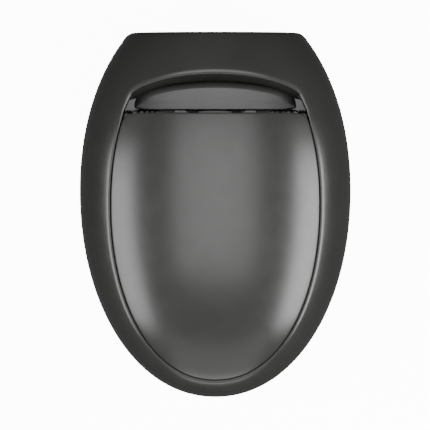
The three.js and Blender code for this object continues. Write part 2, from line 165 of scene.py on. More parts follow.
def at(points, z):
    """A ring of points at one height, or at a height for each."""
    return np.column_stack([points, np.broadcast_to(z, len(points))])


def smooth(t):
    t = np.clip(t, 0, 1)
    return t * t * (3 - 2 * t)


def against_wall(ring, wall_y=WALL_Y, soft=7 * MM):
    """The ring with what lies beyond a plane pressed flat on it, over a soft edge."""
    y = ring[:, 1]
    eased = wall_y - (wall_y + soft - y) ** 2 / (4 * soft)
    pressed = np.where(y < wall_y - soft, y, np.where(y > wall_y + soft, wall_y, eased))
    return np.column_stack([ring[:, 0], pressed, ring[:, 2]])


# ---- meshes ----

def new_piece(name, points, faces):
    mesh = bpy.data.meshes.new(name)
    mesh.from_pydata([tuple(p) for p in points], [], faces)
    mesh.update()
    piece = bpy.data.objects.new(name, mesh)
    bpy.context.scene.collection.objects.link(piece)
    return piece


def loft(name, rings, start=None, end=None, loop=False):
    """Skins rings of points, which run from the bottom up, or from the underside round the edge."""
    count = len(rings[0])
    points = [p for ring in rings for p in ring]
    faces = []
    for k in range(len(rings) if loop else len(rings) - 1):
        low, high = k * count, (k + 1) % len(rings) * count
        for i in range(count):
            after = (i + 1) % count
            faces.append((low + i, low + after, high + after, high + i))
    if not loop:
        first, last = len(points), (len(rings) - 1) * count
        points.append(np.mean(rings[0], axis=0) if start is None else start)
        points.append(np.mean(rings[-1], axis=0) if end is None else end)
        for i in range(count):
            after = (i + 1) % count
            faces.append((first, after, i))
            faces.append((first + 1, last + i, last + after))
    return new_piece(name, points, faces)


def turned(name, profile, axis, origin, sides=ROUND, loop=False):
    """A solid of revolution: (radius, distance) pairs along the axis from the origin."""
    along = "xyz".index(axis)
    angle = np.arange(sides) * 2 * math.pi / sides
    rings = []
    for radius, distance in profile:
        ring = np.tile(np.array(origin, float), (sides, 1))
        ring[:, along] += distance
        ring[:, (along + 1) % 3] += radius * np.cos(angle)
        ring[:, (along + 2) % 3] += radius * np.sin(angle)
        rings.append(ring)
    return loft(name, rings, loop=loop)


def rod(name, radius, start, stop, axis, origin, sides=ROUND):
    return turned(name, [(radius, start), (radius, stop)], axis, origin, sides)


def sideways(profile, side):
    """A profile laid along X to the right, or its mirror image."""
    return profile if side > 0 else [(radius, -x) for radius, x in reversed(profile)]


def block(name, low, high):
    """A plain box, used only to cut with."""
    x0, y0, z0 = low
    x1, y1, z1 = high
    square = np.array([(x0, y0), (x1, y0), (x1, y1), (x0, y1)])
    return loft(name, [at(square, z0), at(square, z1)])


def bake(piece):
    """Turns the piece's modifiers into mesh."""
    graph = bpy.context.evaluated_depsgraph_get()
    mesh = bpy.data.meshes.new_from_object(piece.evaluated_get(graph))
    piece.modifiers.clear()
    piece.data = mesh
    return piece


def boolean(piece, tools, operation):
    """Joins or cuts the piece with each tool, and removes the tools."""
    for tool in tools:
        modifier = piece.modifiers.new(operation, "BOOLEAN")
        modifier.solver = "MANIFOLD"
        modifier.operation = operation
        modifier.object = tool
        bake(piece)
        bpy.data.objects.remove(tool)
    return piece


def cut(piece, *tools):
    return boolean(piece, tools, "DIFFERENCE")


def joined(piece, *tools):
    return boolean(piece, tools, "UNION")


def finish(piece, body, material, slot, *nodes, sharp=35):
    """Shades the piece, gives it its material, attaches it to its body and hides the CAD nodes it stands in
    for.
    """
    piece.data.shade_smooth()
    piece.data.set_sharp_from_angle(angle=math.radians(sharp))
    piece.data.materials.clear()
    piece.data.materials.append(material)
    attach(piece, body)
    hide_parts(*nodes)
    return piece


# ---- materials ----

class Shader:
    """A Principled material with texture nodes in the object's own coordinates."""

    def __init__(self, name, colour, roughness, metallic=0.0):
        self.material = bpy.data.materials.new(name)
        self.material.use_nodes = True
        self.nodes = self.material.node_tree.nodes
        self.links = self.material.node_tree.links
        self.shader = self.nodes["Principled BSDF"]
        self.place = self.nodes.new("ShaderNodeTexCoord").outputs["Object"]
        self.colour = colour
        self.set("Base Color", (*colour, 1))
        self.set("Roughness", roughness)
        self.set("Metallic", metallic)

    def set(self, socket, value):
        self.shader.inputs[socket].default_value = value

    def noise(self, scale, detail=2.0, stretch=None):
        place = self.place
        if stretch:
            mapping = self.nodes.new("ShaderNodeMapping")
            mapping.inputs["Scale"].default_value = stretch
            self.links.new(place, mapping.inputs["Vector"])
            place = mapping.outputs["Vector"]
        noise = self.nodes.new("ShaderNodeTexNoise")
        noise.inputs["Scale"].default_value = scale
        noise.inputs["Detail"].default_value = detail
        self.links.new(place, noise.inputs["Vector"])
        return noise.outputs["Fac"]

    def ranged(self, value, low, high):
        """A number from low to high where the texture is low or high."""
        ramp = self.nodes.new("ShaderNodeMapRange")
        ramp.inputs["From Min"].default_value = 0.3
        ramp.inputs["From Max"].default_value = 0.7
        ramp.inputs["To Min"].default_value = low
        ramp.inputs["To Max"].default_value = high
        self.links.new(value, ramp.inputs["Value"])
        return ramp.outputs["Result"]

    def vary_roughness(self, value, low, high):
        self.links.new(self.ranged(value, low, high), self.shader.inputs["Roughness"])

    def vary_colour(self, value, spread):
        """The colour between a little darker and a little lighter than it was."""
        mix = self.nodes.new("ShaderNodeMix")
        mix.data_type = "RGBA"
        mix.inputs["A"].default_value = (*[c * (1 - spread) for c in self.colour], 1)
        mix.inputs["B"].default_value = (*[min(1, c * (1 + spread)) for c in self.colour], 1)
        self.links.new(self.ranged(value, 0, 1), mix.inputs["Factor"])
        self.links.new(mix.outputs["Result"], self.shader.inputs["Base Color"])

    def bump(self, value, height):
        bump = self.nodes.new("ShaderNodeBump")
        bump.inputs["Distance"].default_value = height
        bump.inputs["Strength"].default_value = 1.0
        self.links.new(value, bump.inputs["Height"])
        self.links.new(bump.outputs["Normal"], self.shader.inputs["Normal"])


def ceramic_glaze():
    """Fired satin glaze: a faint orange-peel ripple and slow changes of sheen."""
    made = Shader("satin_glaze", (0.024, 0.024, 0.0225), 0.24)
    made.set("Specular IOR Level", 0.5)
    made.vary_colour(made.noise(14), 0.06)
    made.vary_roughness(made.noise(30), 0.22, 0.26)
    made.bump(made.noise(240, 1), 0.02 * MM)
    return made.material


def thermoset():
    """Pressed urea thermoset: even, with a very fine satin grain."""
    made = Shader("satin_thermoset", (0.024, 0.024, 0.023), 0.25)
    made.set("Specular IOR Level", 0.5)
    made.vary_colour(made.noise(22), 0.04)
    made.vary_roughness(made.noise(60), 0.23, 0.27)
    made.bump(made.noise(900, 1), 0.01 * MM)
    return made.material


def brushed_steel():
    made = Shader("brushed_steel", (0.56, 0.57, 0.58), 0.32, 1.0)
    brushed = made.noise(120, 3, (1, 14, 14))
    made.vary_roughness(brushed, 0.26, 0.42)
    made.vary_colour(made.noise(40), 0.08)
    made.bump(brushed, 0.02 * MM)
    return made.material


def matt_rubber():
    made = Shader("matt_rubber", (0.022, 0.022, 0.022), 0.8)
    made.vary_colour(made.noise(300), 0.25)
    made.vary_roughness(made.noise(500), 0.72, 0.9)
    made.bump(made.noise(1200), 0.03 * MM)
    return made.material


def moulded_plastic(name, colour):
    made = Shader(name, colour, 0.5)
    made.vary_colour(made.noise(80), 0.06)
    made.vary_roughness(made.noise(200), 0.44, 0.56)
    made.bump(made.noise(1500), 0.015 * MM)
    return made.material


FLOOR_GLOW = 12.0


def floor_paint():
    made = Shader("pale_floor", (0.9, 0.9, 0.9), 0.9)
    made.set("Specular IOR Level", 0.0)
    made.set("Emission Color", (1, 1, 1, 1))
    made.set("Emission Strength", FLOOR_GLOW)
    return made.material


GLAZE = ceramic_glaze()
THERMOSET = thermoset()
STEEL = brushed_steel()
RUBBER = matt_rubber()
BLACK_PLASTIC = moulded_plastic("black_plastic", (0.03, 0.03, 0.03))
PIPE_PLASTIC = moulded_plastic("pipe_plastic", (0.7, 0.7, 0.68))
SLOTS = {
    "glazed_china": GLAZE,
    "thermoset": THERMOSET,
    "steel": STEEL,
    "rubber": RUBBER,
    "black_plastic": BLACK_PLASTIC,
    "pipe_plastic": PIPE_PLASTIC,
}

# ---- pan ----

TOE = 3 * MM  # radius of the foot's edge
SEAM_LIP, ARCH_LIP = (5.5 * MM, 2.8 * MM), (8 * MM, 4 * MM)  # width and depth of the rounded edge
FOOT_FILLET = 1.5 * MM
BOWL_LIP = 6 * MM
CORNER_START, CORNER_RUN = 20 * MM, 16 * MM  # where the seam widens, in front of the lid's back edge
STEP_FORWARD = 2.6 * MM  # how much further forward the recess starts beside the cover


def opening_outline():
    """The edge of the well round the lid joined to the arched recess behind it."""

    def measure(x, y):
        gap = SEAM + (CORNER_SEAM - SEAM) * smooth((y - LID_BACK_Y + CORNER_START) / CORNER_RUN)
        seam = within(grown(LID, gap), x, y)
        to_back = np.maximum((y - LID_CENTRE) / (ARCH_Y - LID_CENTRE), TINY)
        arch = np.hypot(x / ARCH_HALF, (y - ARCH_Y) / ARCH_RISE)
        sides = (np.abs(x) + ARCH_TAPER * (y - WELL_BACK_Y + 4 * MM)) / ARCH_HALF
        return either(both(seam, to_back, 60), both(arch, sides, 40), 60)

    return outline(measure, CENTRE_Y)


def floor_z(points):
    """Height of the ledge that the seat rests on, and of the recess that it steps up to."""
    step_y = WELL_BACK_Y - STEP_FORWARD * smooth((np.abs(points[:, 0]) - COVER_HIGH.x) / (4 * MM))
    return LANDING_Z + (RECESS_Z - LANDING_Z) * smooth((points[:, 1] - step_y) / MM + 0.5)


def skirt_ring(z, inset=0.0):
    shape = between(FOOT, EDGE, smooth(z / EDGE_Z))
    return at(outline(lambda x, y: within(grown(shape, -inset), x, y), CENTRE_Y), z)


def skirt_rings():
    toe = [skirt_ring(TOE * (1 - math.cos(a)), TOE * (1 - math.sin(a))) for a in QUARTER[:-1]]
    return toe + [skirt_ring(z) for z in np.linspace(TOE, EDGE_Z, 48)]


def dome_rings(opening):
    """From just inside the widest outline to the lip, close together where the dome is steep."""
    edge = shape_outline(EDGE)
    lip = offset(opening, lip_size(opening)[0])
    rings = []
    for u in np.linspace(0, 1, 56)[1:]:
        points = edge + (lip - edge) * u**2.5
        rings.append(at(points, dome_z(points)))
    return rings


def lip_size(opening):
    """Width and depth, smaller along the seam and larger along the arch."""
    share = smooth((opening[:, 1] - WELL_BACK_Y) / (25 * MM))
    return [seam + (arch - seam) * share for seam, arch in zip(SEAM_LIP, ARCH_LIP)]


def wall_foot(opening):
    """Where the wall meets the floor: below the seam, but further in below the arch."""
    lean = smooth((opening[:, 1] - WELL_BACK_Y - 14 * MM) / (12 * MM))
    return offset(opening, -WALL_LEAN * lean)


def well_rings(opening):
    """The lip, the wall below it and the hollow fillet at its foot."""
    width, depth = lip_size(opening)
    foot = wall_foot(opening)
    rings = []
    for a in QUARTER[1:]:
        points = offset(opening, width * (1 - math.sin(a)))
        rings.append(at(points, dome_z(points) - depth * (1 - math.cos(a))))
    top = rings[-1][:, 2]
    bottom = floor_z(foot) + FOOT_FILLET
    for t in np.linspace(0, 1, 12)[1:]:
        rings.append(at(opening + (foot - opening) * t**1.3, top + (bottom - top) * t))
    for a in QUARTER[1:]:
        points = offset(foot, -FOOT_FILLET * (1 - math.cos(a)))
        rings.append(at(points, floor_z(points) + FOOT_FILLET * (1 - math.sin(a))))
    return rings


def ledge_rings(opening):
    inner = offset(wall_foot(opening), -FOOT_FILLET)
    rim = offset(shape_outline(BOWL), BOWL_LIP)
    rings = []
    for t in np.linspace(0, 1, 60)[1:]:
        points = inner + (rim - inner) * t
        rings.append(at(points, floor_z(points)))
    return rings


def bowl_ring(t, margin=0.0):
    """The bowl's section, from the sump at 0 to the mouth at 1."""
    shape = grown(between(SUMP, BOWL, 0.45 * smooth(t) + 0.55 * t), margin)
    z = SUMP_Z - margin + (LANDING_Z - SUMP_Z) * t**1.15
    return at(shape_outline(shape), z)


def bowl_rings():
    mouth = shape_outline(BOWL)
    rings = []
    for a in QUARTER[1:]:
        points = offset(mouth, BOWL_LIP * (1 - math.sin(a)))
        rings.append(at(points, LANDING_Z - BOWL_LIP * (1 - math.cos(a))))
    rings += [bowl_ring(t) for t in np.linspace(0.975, 0, 40)]
    last = rings[-1]
    centre = last.mean(axis=0)
    for share, drop in ((0.85, 1.2), (0.5, 1.8), (0.2, 2.0)):
        ring = centre + (last - centre) * share
        ring[:, 2] -= drop * MM
        rings.append(ring)
    return rings


def sweep(name, route, radius, sides=ROUND):
    """A round pipe along a route in the plane of symmetry."""
    points = np.array(route, float)
    dense = []
    for i in range(len(points) - 1):
        a, b, c, d = (points[min(max(i + k, 0), len(points) - 1)] for k in (-1, 0, 1, 2))
        for t in np.linspace(0, 1, 9)[: 8 if i < len(points) - 2 else 9]:
            slope = (c - a) * t
            bend = (2 * a - 5 * b + 4 * c - d) * t**2
            twist = (3 * b - a - 3 * c + d) * t**3
            dense.append(0.5 * (2 * b + slope + bend + twist))
    line = np.array(dense)
    tangent = np.gradient(line, axis=0)
    tangent /= np.linalg.norm(tangent, axis=1)[:, None]
    angle = np.arange(sides) * 2 * math.pi / sides
    rings = []
    for (y, z), (ty, tz) in zip(line, tangent):
        side = radius * np.sin(angle)
        rings.append(np.column_stack([radius * np.cos(angle), y + side * -tz, z + side * ty])[::-1])
    return loft(name, rings)


WEIR_Y, WEIR_Z, WEIR_RADIUS = 157 * MM, 191 * MM, 49 * MM
TRAP_BORE = 28 * MM
BOWL_WALL = 10 * MM
OUTLET_AXIS = (0, 0, (SPIGOT_LOW.z + SPIGOT_HIGH.z) / 2)
INLET_AXIS = (0, 0, (INLET_LOW.z + INLET_HIGH.z) / 2)
BELOW = -5 * MM  # where cuts that open at the floor start
BEYOND_WALL = WALL_Y + 5 * MM
REAR_HALF, REAR_TOP = 78 * MM, 280 * MM  # the way in through the back
DECK_HALF, DECK_FRONT, DECK_TOP = 88 * MM, 214 * MM, 396 * MM  # the space under the deck
SPIGOT = {"radius": 50 * MM, "bore": 40 * MM, "start": 205 * MM, "end": 246 * MM, "mouth": 251 * MM}
INLET = {"radius": 35 * MM, "bore": 20 * MM, "start": 75 * MM, "end": 240 * MM}
SOCKET, SOCKET_START = 27.5 * MM, 215 * MM
STUD_HOLE = 5 * MM
SIDE_FIXING = (0, 120 * MM, 35 * MM)
SIDE_HOLE, SIDE_HOLE_START = 4.5 * MM, 100 * MM
CAP_HOLE, CAP_HOLE_START, CAP_HOLE_END = 9.3 * MM, 116 * MM, 135 * MM


def trap(name, radius):
    route = [(45 * MM, 138 * MM), (84 * MM, 146 * MM), (107 * MM, 170 * MM)]
    for degrees in (160, 130, 100, 70, 40):
        a = math.radians(degrees)
        route.append((WEIR_Y + WEIR_RADIUS * math.cos(a), WEIR_Z + WEIR_RADIUS * math.sin(a)))
    route.append((200 * MM, 196 * MM))
    return sweep(name, route, radius)


def pan_void():
    """The space inside the skirt, open below and behind, with the bowl and its pipes left in it."""
    rings = [skirt_ring(z, WALL) for z in np.linspace(BELOW, EDGE_Z, 24)]
    rings.append(at(shape_outline(grown(EDGE, -2.5 * WALL)), LANDING_Z - WALL))
    void = loft("void", [against_wall(ring, WALL_Y - WALL, 2 * MM) for ring in rings])
    behind = block("behind", (-REAR_HALF, WALL_Y - 2 * WALL, BELOW), (REAR_HALF, BEYOND_WALL, REAR_TOP))
    deck = block("deck", (-DECK_HALF, DECK_FRONT, EDGE_Z - WALL), (DECK_HALF, WALL_Y - WALL, DECK_TOP))
    joined(void, behind, deck)
    shell = loft("shell", [bowl_ring(t, BOWL_WALL) for t in np.linspace(0, 1, 30)])
    spigot = rod("spigot", SPIGOT["radius"], SPIGOT["start"], SPIGOT["end"], "y", OUTLET_AXIS, PIPE_ROUND)
    inlet = rod("inlet", INLET["radius"], INLET["start"], INLET["end"], "y", INLET_AXIS, PIPE_ROUND)
    return cut(void, shell, trap("trap_outside", TRAP_BORE + BOWL_WALL), spigot, inlet)


def pan_bores():
    outlet_start, inlet_start = SPIGOT["start"] + 8 * MM, INLET["start"] - 5 * MM
    bores = [
        trap("trap_bore", TRAP_BORE),
        rod("outlet_bore", SPIGOT["bore"], outlet_start, SPIGOT["mouth"], "y", OUTLET_AXIS, PIPE_ROUND),
        rod("inlet_bore", INLET["bore"], inlet_start, INLET["end"], "y", INLET_AXIS, PIPE_ROUND),
        rod("inlet_socket", SOCKET, SOCKET_START, BEYOND_WALL, "y", INLET_AXIS, PIPE_ROUND),
    ]
    steps = [
        (SIDE_HOLE, SIDE_HOLE_START),
        (SIDE_HOLE, CAP_HOLE_START),
        (CAP_HOLE, CAP_HOLE_START),
        (CAP_HOLE, CAP_HOLE_END),
    ]
    for _, side in SIDES:
        stud = (side * HINGE_X, HINGE.y, 0)
        bores.append(rod("stud_hole", STUD_HOLE, LANDING_Z - 2 * WALL, LANDING_Z + 5 * MM, "z", stud))
        bores.append(turned("side_hole", sideways(steps, side), "x", SIDE_FIXING))
    return bores


def make_pan():
    opening = opening_outline()
    outside = [against_wall(ring) for ring in skirt_rings() + dome_rings(opening)]
    inside = well_rings(opening) + ledge_rings(opening) + bowl_rings()
    pan = loft("pan_ceramic", outside + inside)
    cut(pan, pan_void(), *pan_bores())
    return finish(pan, "pan_body", GLAZE, "glazed_china", "pan")


# ---- lid ----

LID_SHELL = 5 * MM
LID_SKIRT = 8 * MM
LID_EDGE = 1 * MM
SKIRT_EDGE = 0.8 * MM  # bevel under the lid's rim
LUG_NEAR, LUG_FAR, LUG_TOP = 42 * MM, 58 * MM, 431 * MM
LUG_BEHIND = 10 * MM  # reach of the cut that keeps the lugs in front of the lid's back edge
KNUCKLE_BEVEL = 0.8 * MM


def lid_outline():
    """The lid's plan: an egg cut straight across at the back, with rounded corners."""

    def measure(x, y):
        to_back = np.maximum((y - LID_CENTRE) / (LID_BACK_Y - LID_CENTRE), TINY)
        return both(within(LID, x, y), to_back, 30)

    return outline(measure, LID_CENTRE)


def toward_centre(points, share, centre_y=LID_CENTRE):
    return np.column_stack([points[:, 0] * share, centre_y + (points[:, 1] - centre_y) * share])


def knuckle(name, x0, x1, z_end):
    """A plate across X with one end rounded about the hinge axis and the other square at z_end."""
    turn = np.linspace(0, math.pi, 25)
    if z_end > HINGE.z:
        turn = turn + math.pi
    arc = [(HINGE.y + KNUCKLE * math.cos(a), HINGE.z + KNUCKLE * math.sin(a)) for a in turn]
    ends = [(arc[-1][0], z_end), (arc[0][0], z_end)]
    profile = np.array(arc + ends)
    centre = profile.mean(axis=0)
    span = profile - centre
    bevel = KNUCKLE_BEVEL
    rings = []
    for x, inset in ((x0, bevel), (x0 + bevel, 0), (x1 - bevel, 0), (x1, bevel)):
        shrunk = centre + span * (1 - inset / np.abs(span).max(axis=0))
        rings.append(np.column_stack([np.full(len(profile), x), shrunk]))
    return loft(name, rings)


def pin_bore(side, start, stop):
    low, high = sorted((side * start, side * stop))
    return rod("bore", PIN_HOLE, low, high, "x", HINGE_LINE)


def make_lid():
    edge = lid_outline()
    rings = []
    inner = offset(edge, -LID_SHELL)
    for share in np.linspace(0.03, 1, 44):
        points = toward_centre(inner, share)
        rings.append(at(points, dome_z(points) - LID_SHELL))
    rings.append(at(inner, dome_z(inner) - LID_SKIRT + 0.5 * MM))
    low = offset(edge, -LID_SHELL + 0.6 * MM)
    rings.append(at(low, dome_z(low) - LID_SKIRT))
    low = offset(edge, -SKIRT_EDGE)
    rings.append(at(low, dome_z(low) - LID_SKIRT))
    rings.append(at(edge, dome_z(edge) - LID_SKIRT + SKIRT_EDGE))
    for a in QUARTER[::-1]:
        points = offset(edge, -LID_EDGE * (1 - math.sin(a)))
        rings.append(at(points, dome_z(points) - LID_EDGE * (1 - math.cos(a))))
    rim = rings[-1][:, :2]
    for share in np.linspace(1, 0.02, 70)[1:]:
        points = toward_centre(rim, share)
        rings.append(at(points, dome_z(points)))
    crown = float(dome_z(np.array([[0, LID_CENTRE]]))[0])
    lid = loft("lid_shell", rings, (0, LID_CENTRE, crown - LID_SHELL), (0, LID_CENTRE, crown))
    for _, side in SIDES:
        x0, x1 = sorted((side * LUG_NEAR, side * LUG_FAR))
        lug = knuckle("lug", x0, x1, LUG_TOP)
        low = (x0 - MM, LID_BACK_Y - MM, HINGE.z + MM)
        high = (x1 + MM, LID_BACK_Y + LUG_BEHIND, LUG_TOP + 9 * MM)
        joined(lid, cut(lug, block("behind", low, high)))
        cut(lid, pin_bore(side, LUG_NEAR - MM, PIN_HIGH.x))
    return finish(lid, "lid_body", THERMOSET, "thermoset", "lid")


# ---- seat ----

SEAT_DROP = 9 * MM
SEAT_UNDER_Z = 378 * MM
SEAT_LIP_Z = 390 * MM  # where the hole's rolled edge ends
NOTCH = {"near": 20 * MM, "far": 84 * MM, "front": 122 * MM, "rear": 155 * MM}  # clears the posts and lugs


def make_seat():
    """A ring that follows the lid's underside outside and rolls down to the hole inside."""
    outer = toward_centre(lid_outline(), 0.997)
    inner = outline(lambda x, y: within(SEAT_HOLE, x, y), LID_CENTRE)  # rays that match the outer edge's
    edge = dome_z(outer) - SEAT_DROP

    def across(t):
        return outer + (inner - outer) * t

    rings = [at(across(t), SEAT_UNDER_Z) for t in (0.93, 0.7, 0.45, 0.2, 0.02)]
    rings.append(at(across(0.0), SEAT_UNDER_Z + 2 * MM))
    rings.append(at(across(0.0), edge - 3 * MM))
    rings.append(at(across(0.004), edge - 1 * MM))
    for t in np.linspace(0.015, 0.6, 14):
        points = across(t)
        rings.append(at(points, dome_z(points) - SEAT_DROP - 3 * MM * smooth((t - 0.3) / 0.3)))
    start = rings[-1][:, 2]
    for u in np.linspace(0, 1, 16)[1:]:
        fall = start + (SEAT_LIP_Z - start) * (1 - math.cos(u * math.pi / 2)) ** 1.15
        rings.append(at(across(0.6 + 0.4 * math.sin(u * math.pi / 2)), fall))
    rings.append(at(across(1.0), SEAT_UNDER_Z + 5 * MM))
    rings.append(at(across(0.985), SEAT_UNDER_Z + 1.5 * MM))
    seat = loft("seat_ring", rings, loop=True)
    for _, side in SIDES:
        x0, x1 = sorted((side * NOTCH["near"], side * NOTCH["far"]))
        low = (x0, NOTCH["front"], SEAT_UNDER_Z - 8 * MM)
        high = (x1, NOTCH["rear"], LID_HIGH.z + 8 * MM)
        cut(seat, block("notch", low, high), pin_bore(side, NOTCH["far"] - MM, PIN_HIGH.x + MM))
    return finish(seat, "seat_body", THERMOSET, "thermoset", "seat")


# ---- hinge cover ----

COVER_CENTRE = 166 * MM
COVER_ARCH_HALF = 128 * MM
COVER_CROWN = 8 * MM  # how much lower its ends are than its middle


def make_cover():
    """The lens-shaped cover: straight in front, arched behind, crowned across, with a rolled shoulder."""
    half, front = COVER_HIGH.x, COVER_LOW.y - MM
    rise = COVER_HIGH.y - ARCH_Y

    def measure(x, y):
        arch = np.hypot(x / COVER_ARCH_HALF, (y - ARCH_Y) / rise)
        ends = np.abs(x) / half
        to_front = np.maximum((COVER_CENTRE - y) / (COVER_CENTRE - front), TINY)
        return both(both(arch, ends, 30), to_front, 14)

    edge = outline(measure, COVER_CENTRE)
    edge[:, 1] = np.clip(edge[:, 1], front, COVER_HIGH.y)
    edge[:, 0] = np.clip(edge[:, 0], -half, half)

    def crown(points, drop):
        return at(points, COVER_HIGH.z - drop - COVER_CROWN * (points[:, 0] / half) ** 2)

    back = smooth((edge[:, 1] - front - 3 * MM) / (12 * MM))
    ends = smooth((np.abs(edge[:, 0]) / half - 0.8) / 0.2)
    shoulder = 0.8 * MM + ends * 2.5 * MM + back * (9 + 5 * ends) * MM
    height = 0.8 * MM + ends * 2 * MM + back * 6 * MM
    rings = [at(edge, COVER_LOW.z), crown(edge, height + 1 * MM)]
    for a in np.linspace(0, math.pi / 2, 16):
        rings.append(crown(offset(edge, -shoulder * (1 - math.cos(a))), height * (1 - math.sin(a))))
    rim = rings[-1][:, :2]
    for share in np.linspace(1, 0.05, 16)[1:]:
        rings.append(crown(toward_centre(rim, share, COVER_CENTRE), 0))
    cover = loft("hinge_cover_shell", rings, end=(0, COVER_CENTRE, COVER_HIGH.z))
    return finish(cover, "pan_body", THERMOSET, "thermoset", "hinge_cover")


# ---- small pieces ----

THREAD_DEPTH = 0.45 * MM
BRACKET_PLATE, BRACKET_EDGE, BRACKET_HOLE = 4 * MM, 0.6 * MM, 3.3 * MM
SCREW_SHANK, SCREW_PITCH, RECESS = 3 * MM, 1.2 * MM, 2.2 * MM


def middle(node):
    low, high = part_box(node)
    return (low + high) / 2


def half_width(node):
    low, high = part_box(node)
    return (high.x - low.x) / 2


def softened(profile, radius, closed=False):
    """The profile with its corners rounded."""
    points = np.array(profile, float)
    made = []
    for i, corner in enumerate(points):
        if not closed and i in (0, len(points) - 1):
            made.append(corner)
            continue
        back = points[i - 1] - corner
        ahead = points[(i + 1) % len(points)] - corner
        back = back * min(radius / np.linalg.norm(back), 0.45)
        ahead = ahead * min(radius / np.linalg.norm(ahead), 0.45)
        made += [corner + back * (1 - t) ** 2 + ahead * t**2 for t in (0, 0.35, 0.65, 1)]
    return made


def bar(name, profile, axis, origin, edge, sides=ROUND):
    """A solid turned piece with rounded edges."""
    ends = [(TIP, profile[0][1]), *profile, (TIP, profile[-1][1])]
    return turned(name, softened(ends, edge), axis, origin, sides)


def collar(name, profile, axis, origin, edge, sides=ROUND):
    """A turned piece with a hole through it: its section goes up the outside and down the inside."""
    return turned(name, softened(profile, edge, closed=True), axis, origin, sides, loop=True)


def thread(radius, low, high, pitch):
    """The outline of a thread's ridges, as rings."""
    turns = int((high - low) / pitch)
    profile = []
    for k in range(turns):
        start = low + k * pitch
        profile += [(radius - THREAD_DEPTH, start), (radius, start + pitch / 2)]
    return profile + [(radius - THREAD_DEPTH, high)]


def slab(name, low, high, edge):
    """A plate with rounded corners and edges."""
    x0, y0, z0 = low
    x1, y1, z1 = high
    plan = np.array(softened([(x0, y0), (x1, y0), (x1, y1), (x0, y1)], 3 * edge, closed=True))
    bevel = [(edge, 0), (0.3 * edge, 0.3 * edge), (0, edge)]
    steps = [(inset, z0 + rise) for inset, rise in bevel]
    steps += [(inset, z1 - rise) for inset, rise in reversed(bevel)]
    return loft(name, [at(offset(plan, -inset), z) for inset, z in steps])


def make_hinge(name, side):
    low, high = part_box(f"hinge_post_{name}")
    post = knuckle(f"post_{name}", low.x, high.x, low.z)
    cut(post, rod("bore", PIN_HOLE, low.x - MM, high.x + MM, "x", HINGE_LINE))
    finish(post, "pan_body", STEEL, "steel", f"hinge_post_{name}")

    low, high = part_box(f"hinge_pin_{name}")
    start, end = sorted((abs(low.x), abs(high.x)))
    groove, groove_end = start + 2 * MM, start + 3 * MM
    thin = PIN - 0.5 * MM
    shape = [(PIN, start), (PIN, groove), (thin, groove), (thin, groove_end), (PIN, groove_end), (PIN, end)]
    pin = bar(f"pin_{name}", sideways(shape, side), "x", HINGE_LINE, 0.4 * MM)
    finish(pin, "pan_body", STEEL, "steel", f"hinge_pin_{name}")


def make_fixing(name):
    """Under the ledge: gasket, washer and flanged nut round a threaded stud."""
    stud_node = f"hinge_stud_{name}"
    place = (middle(stud_node).x, HINGE.y, 0)
    low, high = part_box(stud_node)
    radius = half_width(stud_node)
    stud = turned(f"stud_{name}", thread(radius, low.z, high.z, 1.5 * MM), "z", place, 24)
    finish(stud, "pan_body", STEEL, "steel", stud_node)

    hole = radius + GAP
    for kind, material, slot, edge in (("gasket", RUBBER, "rubber", 1.2), ("washer", STEEL, "steel", 0.3)):
        node = f"hinge_{kind}_{name}"
        low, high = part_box(node)
        outer = half_width(node)
        shape = [(outer, low.z), (outer, high.z), (hole, high.z), (hole, low.z)]
        ring = collar(f"{kind}_{name}", shape, "z", place, edge * MM)
        finish(ring, "pan_body", material, slot, node)

    node = f"hinge_nut_{name}"
    low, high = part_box(node)
    across = half_width(node)
    nut = bar(f"nut_{name}", [(across, low.z), (across, high.z - 2 * MM)], "z", place, MM, 6)
    flange = bar("flange", [(across, high.z - 2.5 * MM), (across, high.z)], "z", place, 0.6 * MM)
    joined(nut, flange)
    cut(nut, rod("bore", hole, low.z - MM, high.z + MM, "z", place))
    finish(nut, "pan_body", BLACK_PLASTIC, "black_plastic", node)


def screw(name, shape, axis, origin, side, edge):
    """A threaded shank with a rounded head and a six-sided recess in its face."""
    tip, under, wide, face = shape
    corners = [(SCREW_SHANK, under), (wide, under), (wide, face), (TIP, face)]
    profile = thread(SCREW_SHANK, tip, under, SCREW_PITCH) + softened(corners, edge)
    made = turned(name, sideways(profile, side), axis, origin, 24)
    recess = [(RECESS, face - 1.2 * MM), (RECESS, face + MM)]
    return cut(made, turned("recess", sideways(recess, side), axis, origin, 6))


